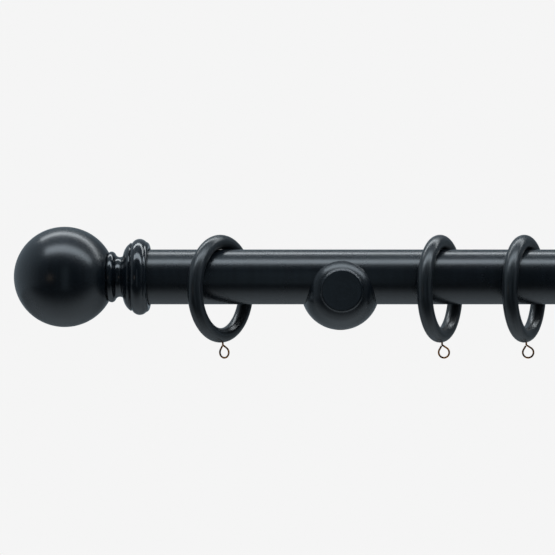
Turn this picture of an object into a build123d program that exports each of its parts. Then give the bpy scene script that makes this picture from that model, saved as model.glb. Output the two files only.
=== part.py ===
from build123d import *

import math
import os

# Millimetres. +X runs along the pole, +Y points into the wall, +Z is up.
# The origin is on the wall plane, midway between the two brackets' fixing centres.

# Pole and how it hangs
pole_diameter = 35.0
pole_length = 1200.0
pole_end_chamfer = 0.6
wall_to_pole = 90.0
pole_above_bracket = 8.8
bracket_inset = 130.0

# Bracket: a turned arm whose axis is square to the wall
cup_side_wall = 7.45
cup_end_wall = 16.25
cup_middle_behind_pole = 5.0
cup_front_wall = 4.9
nose_radius = 13.4
nose_height = 1.2
nose_groove = 0.5
nose_groove_width = 0.35
neck_radius = 12.5
neck_cove = 6.0
cup_foot_step = 1.6
rose_rim = 4.3
rose_edge = 5.0
rose_shoulder = 3.5
rose_rounding = 1.6
saddle_clearance = 0.25
saddle_edge_rounding = 0.5

# Wall plate, its stud and the insert that the stud screws into
plate_radius = 19.0
plate_thickness = 3.0
plate_clearance = 0.4
plate_hole_spacing = 26.0
plate_hole_radius = 2.25
plate_countersink_radius = 4.0
plate_countersink_angle = 90.0
stud_radius = 4.0
stud_length = 20.0
stud_end_room = 2.0
insert_radius = 6.0
insert_length = 15.0
thread_clearance = 0.05

# Countersunk screw that comes up through the cup and holds the pole
pole_screw_radius = 1.75
pole_screw_head_radius = 3.5
pole_screw_head_angle = 90.0
pole_screw_grip = 12.0
pole_screw_recess = 0.6
screw_hole_clearance = 0.25

# Finial: a turned ball screwed on through a collar that caps the pole's end
ball_radius = 32.0
ball_seat_radius = 16.2
collar_length = 26.2
collar_wall = 6.45
collar_step_drop = 2.45
collar_neck_radius = 12.7
bead_radius = 16.2
bead_length = 4.6
bead_edge_drop = 1.45
collar_neck_length = 5.5
collar_neck_rise = 1.2
socket_depth = 8.0
socket_clearance = 0.3
step_length = 14.8
step_groove_width = 0.6
lip_width = 2.0
socket_mouth = 0.9
socket_mouth_depth = 3.0
lip_drop = 1.8
step_groove = 0.45
finial_screw_radius = 3.0
finial_screw_in_ball = 18.0
finial_screw_in_pole = 24.0
finial_screw_point = 2.5

# Rings and their screw eyes
ring_swing_room = 7.6
ring_half_width = 4.2
ring_outer_swell = 4.85
ring_crease_drop = 2.3
ring_inner_swell = 4.45
ring_hang_gap = 0.1
eye_wire_radius = 0.58
eye_loop_radius = 3.4
eye_apex_height = 4.9
eye_bend_radius = 0.8
eye_drop = 1.5
eye_grip = 6.0
eye_point = 1.0
eye_end_gap = 1.08
eye_offset = 1.0
eye_lean = 14
eye_hole_clearance = 0.08

# Where the rings hang, from the end of the pole inwards; a ring's turn is a share of the
# turn at which its inside would rock against the pole, and an eye's turn is in degrees
outer_ring_to_collar = 45.9
first_ring_to_bracket = 63.8
ring_spacing = 53.7
rings_inside_each_bracket = 5
ring_turn_shares = (0.92, 0.765, 0.825, 0.72, 0.85, 0.76)
eye_turns = (32.0, 18.0, 2.0, 40.0, 25.0, 10.0)

# Worked out from the sizes above
pole_radius = pole_diameter / 2
bracket_spacing = pole_length - 2 * bracket_inset
pole_axis = Location((0, -wall_to_pole, pole_above_bracket))
cup_middle = wall_to_pole - cup_middle_behind_pole
saddle_radius = pole_radius + saddle_clearance
saddle_front = wall_to_pole + saddle_radius
cup_radius = saddle_radius + cup_side_wall
cup_half_depth = saddle_radius + cup_end_wall
cup_front = saddle_front + cup_front_wall
rose_radius = plate_radius + plate_clearance + rose_rim
ring_inner_radius = pole_radius + ring_swing_room
ring_middle_radius = ring_inner_radius + ring_inner_swell
ring_outer_radius = ring_middle_radius + ring_outer_swell
ring_rocking_turn = math.degrees(math.acos(math.sqrt(pole_radius / ring_inner_radius)))
ring_centre_height = pole_above_bracket + pole_radius + ring_hang_gap - ring_inner_radius
ball_seat = math.sqrt(ball_radius**2 - ball_seat_radius**2)
collar_face = ball_seat + collar_length
socket_floor = collar_face - socket_depth
socket_radius = pole_radius + socket_clearance
collar_radius = socket_radius + collar_wall
eye_hole_radius = eye_wire_radius + eye_hole_clearance


def sin_degrees(angle):
    return math.sin(math.radians(angle))


def cos_degrees(angle):
    return math.cos(math.radians(angle))


def cup_outline(distance):
    """Outside radius of the cup at a distance from the wall."""
    return cup_radius * math.sqrt(1 - ((distance - cup_middle) / cup_half_depth) ** 2)


pole_screw_head_height = pole_screw_recess - cup_outline(wall_to_pole)
pole_screw_tip_height = pole_above_bracket - pole_radius + pole_screw_grip
pole_screw_length = pole_screw_tip_height - pole_screw_head_height


def turned(*edges):
    """Solid turned about X; each edge is drawn in XY, with Y as the radius."""
    return revolve(make_face(Curve() + list(edges)), Axis.X)


def rod(start, end, radius):
    """Round bar along X from start to end."""
    return Pos((start + end) / 2, 0, 0) * Rot(0, 90, 0) * Cylinder(radius, end - start)


def pointed_rod(start, end, radius, point):
    """Round bar along X whose far end comes to a short blunt point."""
    tip = radius / 4
    return turned(
        Polyline(
            (start, 0),
            (start, radius),
            (end - point, radius),
            (end, tip),
            (end, 0),
            (start, 0),
        )
    )


def outside_plane(side):
    """Place for things drawn along X from the wall outwards, at one bracket."""
    return Pos(side * bracket_spacing / 2, 0, 0) * Rot(0, 0, -90)


def pole_screw_place(side):
    """Place for the pole screw, drawn along X from its head upwards."""
    x = side * bracket_spacing / 2
    return Pos(x, -wall_to_pole, pole_screw_head_height) * Rot(0, -90, 0)


def pole_screw():
    """Countersunk wood screw along X, from the face of its head to its point."""
    half_angle = math.radians(pole_screw_head_angle / 2)
    head_depth = (pole_screw_head_radius - pole_screw_radius) / math.tan(half_angle)
    head = Pos(head_depth / 2, 0, 0) * Rot(0, 90, 0) * Cone(
        pole_screw_head_radius, pole_screw_radius, head_depth
    )
    point = 2 * pole_screw_radius
    return head + pointed_rod(head_depth, pole_screw_length, pole_screw_radius, point)


def pole_screw_hole():
    """Hole for the pole screw: clearance round the shank and the head, open below."""
    open_below = wall_to_pole
    half_angle = math.radians(pole_screw_head_angle / 2)
    head_hole = pole_screw_head_radius + screw_hole_clearance
    shank_hole = pole_screw_radius + thread_clearance
    depth = (head_hole - shank_hole) / math.tan(half_angle)
    flare = Pos(depth / 2, 0, 0) * Rot(0, 90, 0) * Cone(head_hole, shank_hole, depth)
    shank = rod(0, pole_screw_length + thread_clearance, shank_hole)
    return shank + flare + rod(-open_below, 0, head_hole)


def curtain_pole():
    half = pole_length / 2
    pole = rod(-half, half, pole_radius)
    pole = chamfer(pole.edges().filter_by(GeomType.CIRCLE), pole_end_chamfer)
    hole_depth = finial_screw_in_pole + thread_clearance
    for side in (-1, 1):
        ends = sorted((side * (half - hole_depth), side * half))
        pole -= rod(*ends, finial_screw_radius + thread_clearance)
    pole = pole_axis * pole
    for side in (-1, 1):
        pole -= pole_screw_place(side) * pole_screw_hole()
    return pole


def bracket_blank():
    """The turned arm before the saddle is cut: rose, neck, cup and nose."""
    rose_front = rose_edge + rose_shoulder
    shoulder_radius = rose_radius - rose_shoulder
    cove_radius = neck_radius + neck_cove
    cup_foot = cup_middle - 0.8 * cup_half_depth
    neck_front = cup_foot - 1.5 * cup_foot_step
    neck_front_radius = cup_outline(cup_foot) - cup_foot_step
    neck_middle = rose_front + 0.55 * (neck_front - rose_front)
    groove_radius = nose_radius - nose_groove
    groove_front = cup_front + nose_groove_width
    nose_front = groove_front + nose_height
    nose_face_radius = nose_radius - nose_height / 2
    return turned(
        Line((0, 0), (0, rose_radius - rose_rounding)),
        Line((0, rose_radius - rose_rounding), (rose_rounding, rose_radius)),
        Line((rose_rounding, rose_radius), (rose_edge, rose_radius)),
        RadiusArc((rose_edge, rose_radius), (rose_front, shoulder_radius), rose_shoulder),
        Line((rose_front, shoulder_radius), (rose_front, cove_radius)),
        Spline(
            (rose_front, cove_radius),
            (neck_middle, neck_radius),
            (neck_front, neck_front_radius),
            tangents=((1, -2.2), (1, 1.3)),
        ),
        Line((neck_front, neck_front_radius), (cup_foot, cup_outline(cup_foot))),
        cup_side(cup_foot, cup_front),
        Line((cup_front, cup_outline(cup_front)), (cup_front, groove_radius)),
        Line((cup_front, groove_radius), (groove_front, groove_radius)),
        ThreePointArc(
            (groove_front, groove_radius),
            (groove_front + nose_height / 2, nose_radius),
            (nose_front, nose_face_radius),
        ),
        Line((nose_front, nose_face_radius), (nose_front, 0)),
        Line((nose_front, 0), (0, 0)),
    )


def cup_side(foot, front):
    """The cup's outside, a stretch of half an ellipse from its foot to its front."""
    span = front - foot
    stops = [foot + span * step / 6 for step in range(7)]
    return Spline(*[(stop, cup_outline(stop)) for stop in stops])


def bracket_body(side):
    body = bracket_blank()
    saddle_height = pole_above_bracket + saddle_clearance
    open_above = 3 * cup_radius
    channel = Cylinder(saddle_radius, open_above)
    channel += Pos(0, open_above / 2, 0) * Box(2 * saddle_radius, open_above, open_above)
    # local X is the distance from the wall, local Y the pole's direction, local Z up
    body -= Pos(wall_to_pole, 0, saddle_height) * Rot(90, 0, 0) * channel
    saddle_edges = body.edges().filter_by(
        lambda edge: edge.center().X > wall_to_pole - saddle_radius - 0.1
        and edge.center().X < saddle_front + 0.1
        and edge.geom_type != GeomType.LINE
    )
    body = fillet(saddle_edges, saddle_edge_rounding)
    plate_seat = plate_thickness + plate_clearance
    insert_hole = insert_length + plate_seat + thread_clearance
    stud_hole = stud_length + stud_end_room
    body -= rod(0, plate_seat, plate_radius + plate_clearance)
    body -= rod(0, insert_hole, insert_radius + thread_clearance)
    body -= rod(0, stud_hole, stud_radius + thread_clearance)
    body = outside_plane(side) * body
    return body - pole_screw_place(side) * pole_screw_hole()


def wall_plate(side):
    """Round steel plate with two countersunk holes, one above the other."""
    plate = rod(0, plate_thickness, plate_radius)
    plate = chamfer(plate.edges().filter_by(GeomType.CIRCLE).sort_by(Axis.X)[-1:], 0.4)
    half_angle = math.radians(plate_countersink_angle / 2)
    depth = (plate_countersink_radius - plate_hole_radius) / math.tan(half_angle)
    flare = Cone(plate_hole_radius, plate_countersink_radius, depth)
    for height in (-plate_hole_spacing / 2, plate_hole_spacing / 2):
        hole = rod(0, plate_thickness, plate_hole_radius)
        hole += Pos(plate_thickness - depth / 2, 0, 0) * Rot(0, 90, 0) * flare
        plate -= Pos(0, 0, height) * hole
    plate -= rod(0, plate_thickness, stud_radius)
    return outside_plane(side) * plate


def plate_stud(side):
    return outside_plane(side) * pointed_rod(0, stud_length, stud_radius, 1.0)


def threaded_insert(side):
    start = plate_thickness + plate_clearance
    insert = rod(start, start + insert_length, insert_radius)
    insert -= rod(start, start + insert_length, stud_radius + thread_clearance)
    return outside_plane(side) * insert


def finial_place(side):
    """Place for things drawn along X from the ball's centre towards the pole."""
    middle = pole_length / 2 - socket_depth + collar_face
    turn = 0 if side < 0 else 180
    return pole_axis * Pos(side * middle, 0, 0) * Rot(0, 0, turn)


def finial_ball(side):
    ball = Rot(0, 90, 0) * Sphere(ball_radius)
    ball -= rod(ball_seat, ball_radius + 1, ball_radius)
    hole_start = ball_seat - finial_screw_in_ball - thread_clearance
    ball -= rod(hole_start, ball_seat, finial_screw_radius + thread_clearance)
    return finial_place(side) * ball


def finial_collar(side):
    """Bead, narrow neck, cushion step and broad collar with a socket for the pole."""
    step = ball_seat + step_length
    step_radius = collar_radius - collar_step_drop
    groove = step + step_groove_width
    groove_radius = step_radius - step_groove
    bead_end = ball_seat + bead_length
    bead_edge = bead_radius - bead_edge_drop
    neck_end = bead_end + collar_neck_length
    neck_end_radius = collar_neck_radius + collar_neck_rise
    neck_middle = bead_end + 0.55 * collar_neck_length
    cushion_middle = neck_end + 0.43 * (step - neck_end)
    cushion_radius = neck_end_radius + 0.7 * (step_radius - neck_end_radius)
    lip_start = collar_face - lip_width
    lip_radius = collar_radius - lip_drop
    widest = (groove + lip_start) / 2
    mouth = pole_radius + socket_mouth
    mouth_edge = mouth + 0.3 * (lip_radius - mouth)
    mouth_floor = collar_face - socket_mouth_depth
    lip_middle = (lip_radius + mouth_edge) / 2 + lip_width / 4
    screw_hole = finial_screw_radius + thread_clearance
    return finial_place(side) * turned(
        Line((ball_seat, screw_hole), (ball_seat, bead_edge)),
        ThreePointArc(
            (ball_seat, bead_edge), ((ball_seat + bead_end) / 2, bead_radius), (bead_end, bead_edge)
        ),
        ThreePointArc(
            (bead_end, bead_edge), (neck_middle, collar_neck_radius), (neck_end, neck_end_radius)
        ),
        ThreePointArc(
            (neck_end, neck_end_radius), (cushion_middle, cushion_radius), (step, step_radius)
        ),
        Line((step, step_radius), (step, groove_radius)),
        Line((step, groove_radius), (groove, groove_radius)),
        ThreePointArc(
            (groove, groove_radius), (widest, collar_radius), (lip_start, lip_radius)
        ),
        ThreePointArc(
            (lip_start, lip_radius), (collar_face - lip_width / 4, lip_middle), (collar_face, mouth_edge)
        ),
        Line((collar_face, mouth_edge), (collar_face, mouth)),
        Line((collar_face, mouth), (mouth_floor, mouth)),
        Line((mouth_floor, mouth), (mouth_floor, socket_radius)),
        Line((mouth_floor, socket_radius), (socket_floor, socket_radius)),
        Line((socket_floor, socket_radius), (socket_floor, screw_hole)),
        Line((socket_floor, screw_hole), (ball_seat, screw_hole)),
    )


def finial_screw(side):
    """Double-ended screw through the collar, from inside the ball into the pole."""
    start = ball_seat - finial_screw_in_ball
    end = socket_floor + finial_screw_in_pole
    tip = finial_screw_radius / 4
    point = finial_screw_point
    return finial_place(side) * turned(
        Polyline(
            (start, 0),
            (start, tip),
            (start + point, finial_screw_radius),
            (end - point, finial_screw_radius),
            (end, tip),
            (end, 0),
            (start, 0),
        )
    )


def ring_place(number):
    """Where ring 1 to 12 hangs and how far it is turned, counted from the left."""
    per_side = rings_inside_each_bracket + 1
    side = -1 if number <= per_side else 1
    from_end = number - 1 if side < 0 else 2 * per_side - number
    if from_end == 0:
        x = pole_length / 2 - socket_depth - outer_ring_to_collar
    else:
        x = bracket_spacing / 2 - first_ring_to_bracket - (from_end - 1) * ring_spacing
    place = Pos(side * x, -wall_to_pole, ring_centre_height)
    share = ring_turn_shares[from_end % len(ring_turn_shares)]
    ring_turn = side * share * ring_rocking_turn
    eye_turn = eye_turns[from_end % len(eye_turns)]
    if side < 0:
        eye_turn = -eye_turn
    else:
        eye_turn = 180 + eye_turn
    return place, ring_turn, eye_turn


def eye_place(number):
    """Where a ring's screw eye stands: level with the ring's centre, a little inboard."""
    place, _, _ = ring_place(number)
    side = -1 if number <= rings_inside_each_bracket + 1 else 1
    return place * Pos(-side * eye_offset, 0, 0)


def curtain_ring(number):
    """Turned ring round X, with a crease where its flatter inside meets each face."""
    crease = ring_middle_radius - ring_crease_drop
    ring = turned(
        ThreePointArc(
            (-ring_half_width, crease),
            (0, ring_outer_radius),
            (ring_half_width, crease),
        ),
        ThreePointArc(
            (ring_half_width, crease),
            (0, ring_inner_radius),
            (-ring_half_width, crease),
        ),
    )
    hole_length = 2 * eye_grip
    hole_middle = eye_grip + eye_hole_clearance - hole_length / 2 - ring_outer_radius
    place, ring_turn, _ = ring_place(number)
    hole = eye_place(number) * Pos(0, 0, hole_middle)
    return place * Rot(0, 0, ring_turn) * ring - hole * Cylinder(eye_hole_radius, hole_length)


def screw_eye(number):
    """Wire shank on the Z axis and a teardrop loop that leans off it, drawn in XZ."""
    loop = Vector(eye_apex_height * sin_degrees(eye_lean), 0)
    apex = Vector(0, eye_apex_height * cos_degrees(eye_lean))
    opening = math.degrees(math.acos(eye_loop_radius / eye_apex_height))
    first_angle = 90 + eye_lean - opening
    last_angle = 90 + eye_lean + opening
    first_touch = loop + Vector(cos_degrees(first_angle), sin_degrees(first_angle)) * eye_loop_radius
    last_touch = loop + Vector(cos_degrees(last_angle), sin_degrees(last_angle)) * eye_loop_radius
    wire_end = apex + (last_touch - apex).normalized() * eye_end_gap
    shank_top = apex.Y + eye_drop + eye_grip - eye_point
    path = FilletPolyline((0, shank_top), apex, first_touch, radius=eye_bend_radius)
    path += CenterArc(loop, eye_loop_radius, first_angle, 2 * opening - 360)
    path += Line(last_touch, wire_end)
    section = Plane(origin=(0, shank_top, 0), z_dir=(0, -1, 0)) * Circle(eye_wire_radius)
    eye = Rot(90, 0, 0) * sweep(section, path=path)
    tip = Cone(eye_wire_radius, eye_wire_radius / 4, eye_point)
    eye += Pos(0, 0, shank_top + eye_point / 2) * tip
    _, _, eye_turn = ring_place(number)
    drop = Pos(0, 0, -ring_outer_radius - eye_drop - apex.Y)
    return eye_place(number) * drop * Rot(0, 0, eye_turn) * eye


os.makedirs("parts", exist_ok=True)

export_step(curtain_pole(), "parts/curtain_pole.step")

for hand, side in (("left", -1), ("right", 1)):
    export_step(bracket_body(side), f"parts/{hand}_bracket_body.step")
    export_step(wall_plate(side), f"parts/{hand}_wall_plate.step")
    export_step(plate_stud(side), f"parts/{hand}_plate_stud.step")
    export_step(threaded_insert(side), f"parts/{hand}_threaded_insert.step")
    export_step(pole_screw_place(side) * pole_screw(), f"parts/{hand}_pole_screw.step")
    export_step(finial_ball(side), f"parts/{hand}_finial_ball.step")
    export_step(finial_collar(side), f"parts/{hand}_finial_collar.step")
    export_step(finial_screw(side), f"parts/{hand}_finial_screw.step")

for number in range(1, 2 * rings_inside_each_bracket + 3):
    export_step(curtain_ring(number), f"parts/ring_{number:02d}.step")
    export_step(screw_eye(number), f"parts/screw_eye_{number:02d}.step")
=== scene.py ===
import math

import bmesh
import bpy
from bpy.props import FloatProperty, FloatVectorProperty, IntProperty, PointerProperty
from mathutils import Matrix, Vector
from mathutils.geometry import interpolate_bezier


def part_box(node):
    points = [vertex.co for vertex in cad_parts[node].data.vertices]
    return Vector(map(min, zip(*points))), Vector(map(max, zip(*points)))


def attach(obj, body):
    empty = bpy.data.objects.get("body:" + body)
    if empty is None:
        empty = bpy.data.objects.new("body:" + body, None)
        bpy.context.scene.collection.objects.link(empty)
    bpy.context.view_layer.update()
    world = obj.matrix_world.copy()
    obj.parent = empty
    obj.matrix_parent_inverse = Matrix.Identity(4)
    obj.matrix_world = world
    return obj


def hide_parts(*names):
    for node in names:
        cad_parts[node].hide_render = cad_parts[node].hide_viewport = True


bl_info = {
    "name": "Curtain pole with cup brackets",
    "version": (1, 0, 0),
    "blender": (4, 5, 0),
    "location": "3D View > Sidebar > Curtain pole",
    "description": "Turned pole, brackets, ball finials, rings and screw eyes",
    "category": "Object",
}

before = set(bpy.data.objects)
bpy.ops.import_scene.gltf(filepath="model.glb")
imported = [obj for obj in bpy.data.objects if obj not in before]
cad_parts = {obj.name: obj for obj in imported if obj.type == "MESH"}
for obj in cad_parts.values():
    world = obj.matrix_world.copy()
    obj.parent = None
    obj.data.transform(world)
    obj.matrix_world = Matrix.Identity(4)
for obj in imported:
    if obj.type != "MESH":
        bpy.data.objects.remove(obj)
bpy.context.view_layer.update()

HANDS = ("left", "right")
RING_COUNT = sum(name.startswith("ring_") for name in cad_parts)
RING_NUMBERS = range(1, RING_COUNT + 1)

# Names of the attributes that a turned piece carries for its lathe grain
LATHE = "lathe"
LATHE_SIDE = "lathe_side"

pole_low, pole_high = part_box("curtain_pole")
bracket_low, bracket_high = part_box("left_bracket_body")
ring_low, ring_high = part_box("ring_01")
ball_low, ball_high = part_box("left_finial_ball")
collar_low, collar_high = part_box("left_finial_collar")
POLE_RADIUS = (pole_high.z - pole_low.z) / 2
POLE_CENTRE = (pole_low + pole_high) / 2
BRACKET_CENTRE = (bracket_low + bracket_high) / 2
BALL_RADIUS = (ball_high.z - ball_low.z) / 2
COLLAR_RADIUS = (collar_high.z - collar_low.z) / 2
COLLAR_LENGTH = collar_high.x - collar_low.x
RING_RADIUS = (ring_high.z - ring_low.z) / 2

# Height of the saddle's axis above the pole's, at which the pole rests in the wider saddle
SADDLE_GAP = 0.00025
# Points closer than this are one point
TOUCH = 1e-7


# ---------------------------------------------------------------- settings


def length(name, description, default):
    return FloatProperty(
        name=name, description=description, default=default, min=0.0, precision=5,
        subtype="DISTANCE", unit="LENGTH",
    )


def angle(name, description, degrees):
    return FloatProperty(
        name=name, description=description, default=math.radians(degrees),
        subtype="ANGLE", unit="ROTATION",
    )


def colour(name, description, default):
    return FloatVectorProperty(
        name=name, description=description, default=default, size=3,
        min=0.0, max=1.0, subtype="COLOR",
    )


def share(name, description, default):
    return FloatProperty(
        name=name, description=description, default=default, min=0.0, max=1.0,
        subtype="FACTOR",
    )


def count(name, description, default):
    return IntProperty(name=name, description=description, default=default, min=3)


def turns(description, *degrees):
    """One turn for each ring of a half, from the pole's end inwards."""
    defaults = [math.radians(turn) for turn in degrees]
    return FloatVectorProperty(
        name="Turns", description=description, default=defaults, size=len(degrees)
    )


class PoleSizes(bpy.types.PropertyGroup):
    radius: length("Radius", "Half the pole's thickness", POLE_RADIUS)
    length: length("Length", "The pole from end to end", pole_high.x - pole_low.x)
    chamfer: length("End chamfer", "Bevel at each end of the pole", 0.0006)
    screw_hole: length("Screw hole", "Radius of the hole for the finial's screw", 0.00305)
    screw_depth: length("Screw depth", "How deep the finial's screw goes in", 0.02405)
    steps: count("Steps", "Facets round the pole", 192)


class FinialSizes(bpy.types.PropertyGroup):
    ball_radius: length("Ball radius", "Half the ball's thickness", BALL_RADIUS)
    seat_radius: length("Seat radius", "Flat on the ball that the collar meets", 0.0162)
    collar_radius: length("Collar radius", "Widest radius of the collar", COLLAR_RADIUS)
    collar_length: length("Collar length", "From the ball's seat to the lip", COLLAR_LENGTH)
    bead_length: length("Bead length", "Bead next to the ball", 0.0046)
    bead_drop: length("Bead edge drop", "How far the bead's edges fall away", 0.00145)
    neck_radius: length("Neck radius", "Hollow between bead and cushion", 0.0127)
    neck_length: length("Neck length", "Width of the hollow", 0.0055)
    neck_rise: length("Neck rise", "Neck's rise where the cushion starts", 0.0012)
    step_length: length("Step length", "From the ball's seat to the cushion's edge", 0.0148)
    step_drop: length("Step drop", "Cushion's edge below the widest radius", 0.00245)
    groove_depth: length("Groove depth", "Groove between cushion and collar", 0.00075)
    groove_width: length("Groove width", "Width of that groove", 0.0006)
    lip_width: length("Lip width", "Rounded lip at the pole's side", 0.002)
    lip_drop: length("Lip drop", "How far the lip falls below the widest radius", 0.0018)
    socket_radius: length("Socket radius", "Bore that takes the pole's end", 0.0178)
    socket_depth: length("Socket depth", "How far the pole goes in", 0.008)
    mouth_radius: length("Mouth radius", "Wider start of the socket", 0.0184)
    mouth_depth: length("Mouth depth", "Depth of the wider start", 0.003)
    screw_hole: length("Screw hole", "Radius of the hole for the screw", 0.00305)
    screw_depth: length("Screw depth", "How deep the screw goes into the ball", 0.01805)
    edge_rounding: length("Edge rounding", "Rounding of the crisp turned edges", 0.00022)
    steps: count("Steps", "Facets round the finial", 160)


class BracketSizes(bpy.types.PropertyGroup):
    rose_radius: length("Rose radius", "Foot that stands on the wall", 0.0237)
    rose_edge: length("Rose edge", "Straight edge of the rose", 0.005)
    rose_shoulder: length("Rose shoulder", "Rounded shoulder of the rose", 0.0035)
    recess_radius: length("Recess radius", "Recess for the wall plate", 0.0194)
    recess_depth: length("Recess depth", "Depth of that recess", 0.0034)
    insert_radius: length("Insert radius", "Bore for the threaded insert", 0.00605)
    insert_depth: length("Insert depth", "Depth of that bore", 0.01845)
    neck_radius: length("Neck radius", "Thinnest part of the arm", 0.0125)
    cove_radius: length("Cove radius", "Where the neck meets the rose", 0.0185)
    foot_step: length("Foot step", "Small step under the cup", 0.0016)
    cup_radius: length("Cup radius", "Widest radius of the cup", 0.0252)
    cup_middle: length("Cup middle", "From the wall to the cup's widest part", 0.085)
    cup_half_depth: length("Cup half depth", "Half the cup's full outline", 0.034)
    saddle_radius: length("Saddle radius", "Hollow that the pole lies in", 0.01775)
    saddle_rounding: length("Saddle rounding", "Rounding of the hollow's edges", 0.0003)
    nose_radius: length("Nose radius", "Raised disc on the front", 0.0134)
    nose_rounding: length("Nose rounding", "Rounding of the disc's edge", 0.0014)
    nose_height: length("Nose height", "How far the disc stands out", 0.0026)
    screw_radius: length("Screw hole", "Hole for the head of the pole screw", 0.00375)
    screw_depth: length("Screw hole depth", "How deep that hole goes into the cup", 0.0006)
    edge_rounding: length("Edge rounding", "Rounding of the crisp turned edges", 0.00025)
    steps: count("Steps", "Facets round the bracket", 160)


class RingSizes(bpy.types.PropertyGroup):
    outer_radius: length("Outer radius", "Ring's outside", RING_RADIUS)
    inner_radius: length("Inner radius", "Ring's inside", 0.0251)
    crease_radius: length("Crease radius", "Where the flatter inside begins", 0.02725)
    half_width: length("Half width", "From the ring's middle to its crease", 0.0042)
    crease_rounding: length("Crease rounding", "Softening of the crease", 0.0006)
    turns: turns("How far each ring is turned on the pole", 30.71, 25.54, 27.54, 24.03, 28.37, 25.37)
    steps: count("Steps", "Facets round the ring", 128)
    arc_steps: count("Arc steps", "Facets across each side of the ring", 12)


class EyeSizes(bpy.types.PropertyGroup):
    wire_radius: length("Wire radius", "Half the wire's thickness", 0.00058)
    loop_radius: length("Loop radius", "Middle of the wire round the loop", 0.0034)
    apex_height: length("Apex height", "From the loop's centre to the teardrop's tip", 0.0049)
    bend_radius: length("Bend radius", "Bend between shank and loop", 0.0008)
    end_gap: length("End gap", "How far the wire's end stops from the tip", 0.00068)
    point: length("Point", "Length of the shank's point", 0.001)
    offset: length("Offset", "From the ring's middle to the shank", 0.001)
    lean: angle("Lean", "Lean of the loop off the shank", 14.0)
    turns: turns("How far each eye is turned on its shank", 32.0, 18.0, 2.0, 40.0, 25.0, 10.0)
    steps: count("Steps", "Facets round the wire", 14)


class FinishColours(bpy.types.PropertyGroup):
    lacquer: colour("Lacquer", "Blue-black satin lacquer", (0.0036, 0.0055, 0.0078))
    lacquer_light: colour("Thin lacquer", "Lacquer where it is thinner", (0.0064, 0.0092, 0.0124))
    ring_lacquer: colour("Ring lacquer", "Lacquer on the rings", (0.0050, 0.0068, 0.0086))
    ring_streak: colour("Ring streak", "Paler streaks along the rings", (0.0190, 0.0228, 0.0262))
    worn_wood: colour("Worn edge", "Rubbed edges of the lacquer", (0.0320, 0.0310, 0.0300))
    bronze: colour("Bronze", "Rubbed bronze of the screw eyes", (0.6200, 0.2500, 0.0600))
    bronze_dark: colour("Dark bronze", "Tarnish on the screw eyes", (0.0320, 0.0140, 0.0070))
    zinc: colour("Zinc", "Bright zinc plate", (0.6200, 0.6300, 0.6400))
    zinc_dull: colour("Dull zinc", "Zinc where it has dulled", (0.4300, 0.4400, 0.4400))
    brass: colour("Brass", "Plain brass", (0.7400, 0.5600, 0.2700))
    brass_dull: colour("Dull brass", "Brass where it has dulled", (0.4600, 0.3300, 0.1500))
    black_oxide: colour("Black oxide", "Blackened screw", (0.0220, 0.0220, 0.0230))
    pole_roughness: share("Lacquer roughness", "Satin of pole, ball and bracket", 0.27)
    collar_roughness: share("Collar roughness", "Gloss of the collar", 0.14)
    ring_roughness: share("Ring roughness", "Satin of the rings", 0.30)


class StageSettings(bpy.types.PropertyGroup):
    focal_length: FloatProperty(
        name="Focal length", description="The camera's lens", default=90.81,
        subtype="DISTANCE_CAMERA", unit="CAMERA",
    )
    distance: length("Camera distance", "From the camera to the pole's axis", 0.8931)
    beside_bracket: length("Beside the bracket", "Camera left of the left bracket", 0.03311)
    below_pole: length("Below the pole", "Camera below the pole's axis", 0.00833)
    floor_drop: length("Floor", "Height of the origin above the floor", 1.6)
    floor_radius: length("Floor radius", "Half the floor's width", 6.0)
    # Painted shade: the floor as seen is darker below the object
    floor_shade: share("Floor shade", "How much darker the floor is below the object", 0.07)
    # Painted glow: the floor's emission where it counts as lit stands in for the light it sends back
    painted_floor_glow: share("Floor glow", "Light that the lit floor sends back", 0.16)
    floor_tint: colour("Floor tint", "Colour of that light", (0.86, 0.95, 1.0))
    backdrop: share("Backdrop", "Brightness of the backdrop", 0.913)
    studio: share("Studio", "Brightness of the studio behind the object, in reflections", 0.60)
    studio_tint: colour("Studio tint", "Colour of that light", (0.71, 0.87, 1.0))


class PoleSettings(bpy.types.PropertyGroup):
    pole: PointerProperty(type=PoleSizes)
    finial: PointerProperty(type=FinialSizes)
    bracket: PointerProperty(type=BracketSizes)
    ring: PointerProperty(type=RingSizes)
    eye: PointerProperty(type=EyeSizes)
    finish: PointerProperty(type=FinishColours)
    stage: PointerProperty(type=StageSettings)


# ---------------------------------------------------------------- turning and wire


def arc(start, middle, end, steps):
    """Points from start to end on the circle through all three, start left out."""
    (ax, ay), (bx, by), (cx, cy) = start, middle, end
    double_area = 2 * (ax * (by - cy) + bx * (cy - ay) + cx * (ay - by))
    a2, b2, c2 = ax * ax + ay * ay, bx * bx + by * by, cx * cx + cy * cy
    centre = Vector((
        (a2 * (by - cy) + b2 * (cy - ay) + c2 * (ay - by)) / double_area,
        (a2 * (cx - bx) + b2 * (ax - cx) + c2 * (bx - ax)) / double_area,
    ))
    radius = (Vector(start) - centre).length
    first = math.atan2(ay - centre.y, ax - centre.x)
    through = (math.atan2(by - centre.y, bx - centre.x) - first) % math.tau
    last = (math.atan2(cy - centre.y, cx - centre.x) - first) % math.tau
    sweep = last if through < last else last - math.tau
    return [
        (
            centre.x + radius * math.cos(first + sweep * step / steps),
            centre.y + radius * math.sin(first + sweep * step / steps),
        )
        for step in range(1, steps + 1)
    ]


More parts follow.
